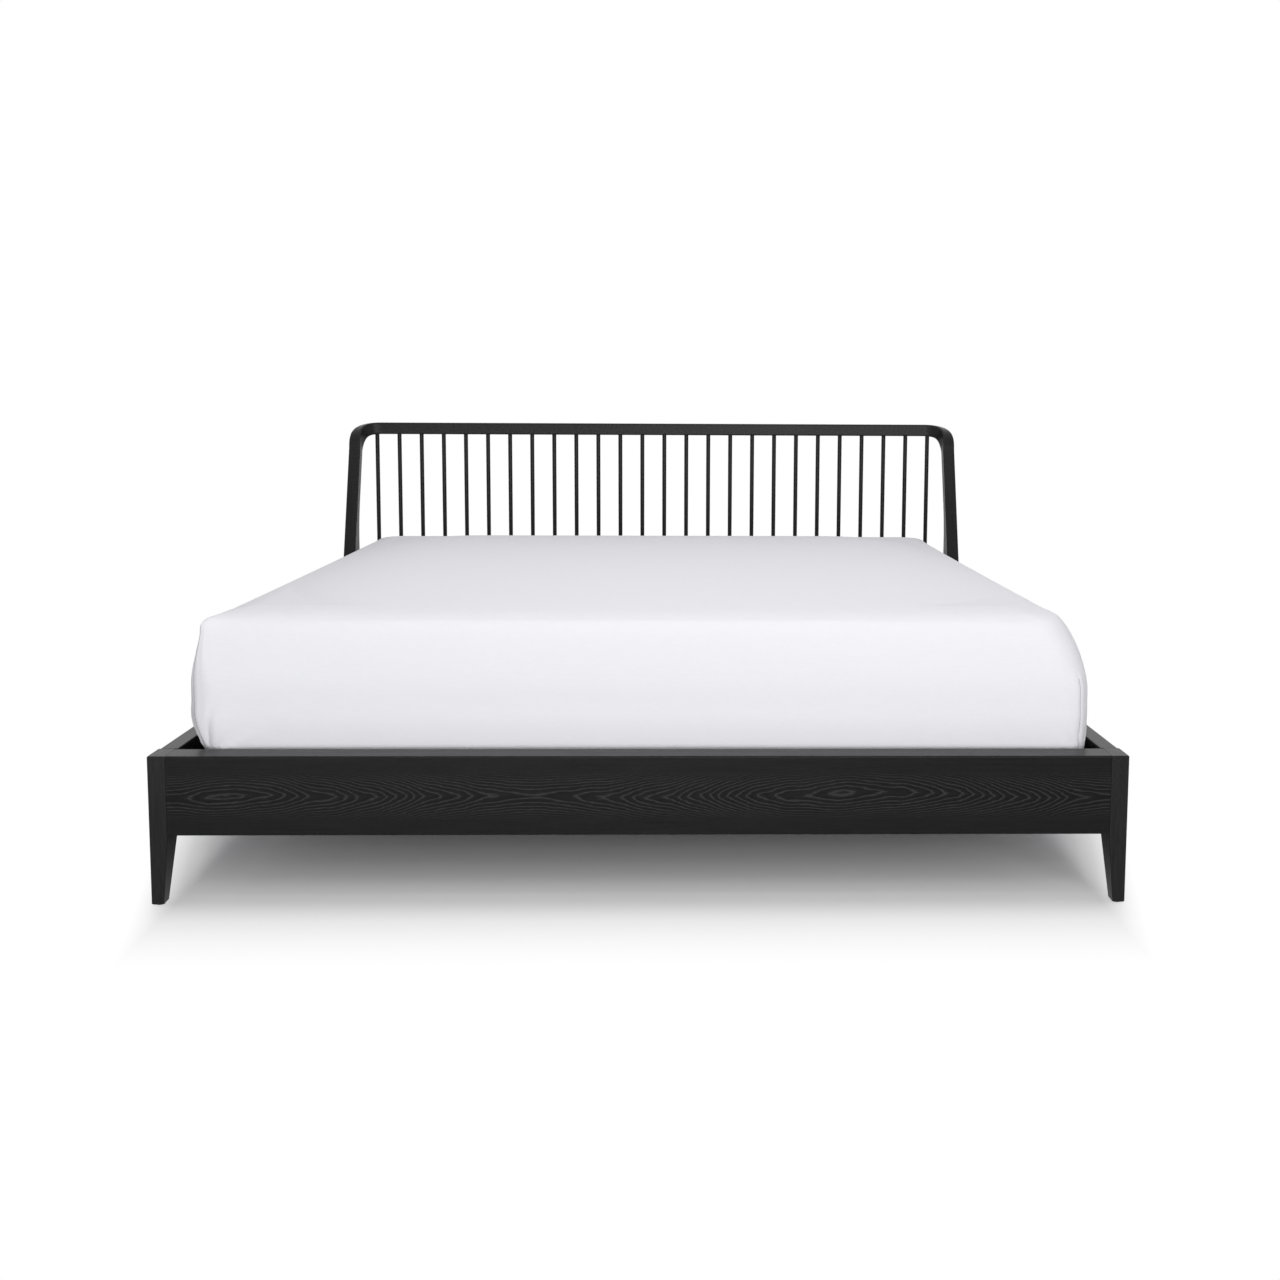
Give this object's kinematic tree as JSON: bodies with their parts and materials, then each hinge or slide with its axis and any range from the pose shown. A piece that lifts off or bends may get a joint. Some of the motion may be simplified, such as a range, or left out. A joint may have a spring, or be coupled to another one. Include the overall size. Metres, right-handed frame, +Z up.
{
  "type": "spindle bed",
  "caption": "Low platform bed in black-stained wood: leaning posts and a curved top rail hold a spindle headboard; tapered legs, slatted base, sheeted mattress.",
  "frame": {"origin": "on the floor, at the centre of the bed's outline", "axes": "+Z up, +Y from the foot end to the headboard, +X to the right as seen from the foot end"},
  "size_m": [2.06, 2.155, 0.986],
  "materials": {
    "black_stained_oak": "satin",
    "black_stained_spruce": "matte",
    "beech": "matte",
    "black_steel": "satin",
    "zinc_steel": "satin",
    "black_nylon": "matte",
    "black_webbing": "matte",
    "mattress_ticking": "matte",
    "white_cotton": "matte"
  },
  "bodies": {
    "bed_frame": {"back_rail": "black_stained_oak", "beam_hangers": "black_steel", "centre_beam": "black_stained_spruce", "centre_leg_back": "black_stained_oak", "centre_leg_front": "black_stained_oak", "coach_screws": "black_steel", "corner_bracket_left": "black_steel", "corner_bracket_right": "black_steel", "front_leg_left": "black_stained_oak", "front_leg_right": "black_stained_oak", "front_rail": "black_stained_oak", "headboard_corners": "black_stained_oak", "headboard_post_left": "black_stained_oak", "headboard_post_right": "black_stained_oak", "headboard_top_rail": "black_stained_oak", "joining_plate_left": "black_steel", "joining_plate_right": "black_steel", "leg_glides": "black_nylon", "loose_tenons": "beech", "rear_leg_left": "black_stained_oak", "rear_leg_right": "black_stained_oak", "side_rail_left": "black_stained_oak", "side_rail_right": "black_stained_oak", "slat_ledger_left": "black_stained_spruce", "slat_ledger_right": "black_stained_spruce", "slat_webbing": "black_webbing", "slats": "black_stained_spruce", "spindle_01": "black_stained_oak", "spindle_02": "black_stained_oak", "spindle_03": "black_stained_oak", "spindle_04": "black_stained_oak", "spindle_05": "black_stained_oak", "spindle_06": "black_stained_oak", "spindle_07": "black_stained_oak", "spindle_08": "black_stained_oak", "spindle_09": "black_stained_oak", "spindle_10": "black_stained_oak", "spindle_11": "black_stained_oak", "spindle_12": "black_stained_oak", "spindle_13": "black_stained_oak", "spindle_14": "black_stained_oak", "spindle_15": "black_stained_oak", "spindle_16": "black_stained_oak", "spindle_17": "black_stained_oak", "spindle_18": "black_stained_oak", "spindle_19": "black_stained_oak", "spindle_20": "black_stained_oak", "spindle_21": "black_stained_oak", "spindle_22": "black_stained_oak", "spindle_23": "black_stained_oak", "spindle_24": "black_stained_oak", "spindle_25": "black_stained_oak", "spindle_26": "black_stained_oak", "wood_screws": "zinc_steel"},
    "bedding": {"mattress": "mattress_ticking", "fitted_sheet": "white_cotton"},
    "foot_pad_front": {"foot_pad_front": "black_nylon"},
    "foot_stem_front": {"foot_stem_front": "zinc_steel"},
    "foot_pad_back": {"foot_pad_back": "black_nylon"},
    "foot_stem_back": {"foot_stem_back": "zinc_steel"}
  },
  "joints": [
    {"name": "mattress_lift", "type": "slide", "parent": "bed_frame", "child": "bedding", "axis": [0, 0, 1], "range_m": [0, 0.75]},
    {"name": "foot_height_front", "type": "slide", "parent": "bed_frame", "child": "foot_pad_front", "axis": [0, 0, -1], "range_m": [0, 0.015]},
    {"name": "foot_turn_front", "type": "hinge", "parent": "foot_pad_front", "child": "foot_stem_front", "pos_m": [0, -0.3375, 0.02], "axis": [0, 0, -1], "range_deg": [0, 3600]},
    {"name": "foot_height_back", "type": "slide", "parent": "bed_frame", "child": "foot_pad_back", "axis": [0, 0, -1], "range_m": [0, 0.015]},
    {"name": "foot_turn_back", "type": "hinge", "parent": "foot_pad_back", "child": "foot_stem_back", "pos_m": [0, 0.3625, 0.02], "axis": [0, 0, -1], "range_deg": [0, 3600]}
  ],
  "couplings": [
    {"joint": "foot_height_front", "follows": "foot_turn_front", "m_per_rad": 0.00023873},
    {"joint": "foot_height_back", "follows": "foot_turn_back", "m_per_rad": 0.00023873}
  ]
}
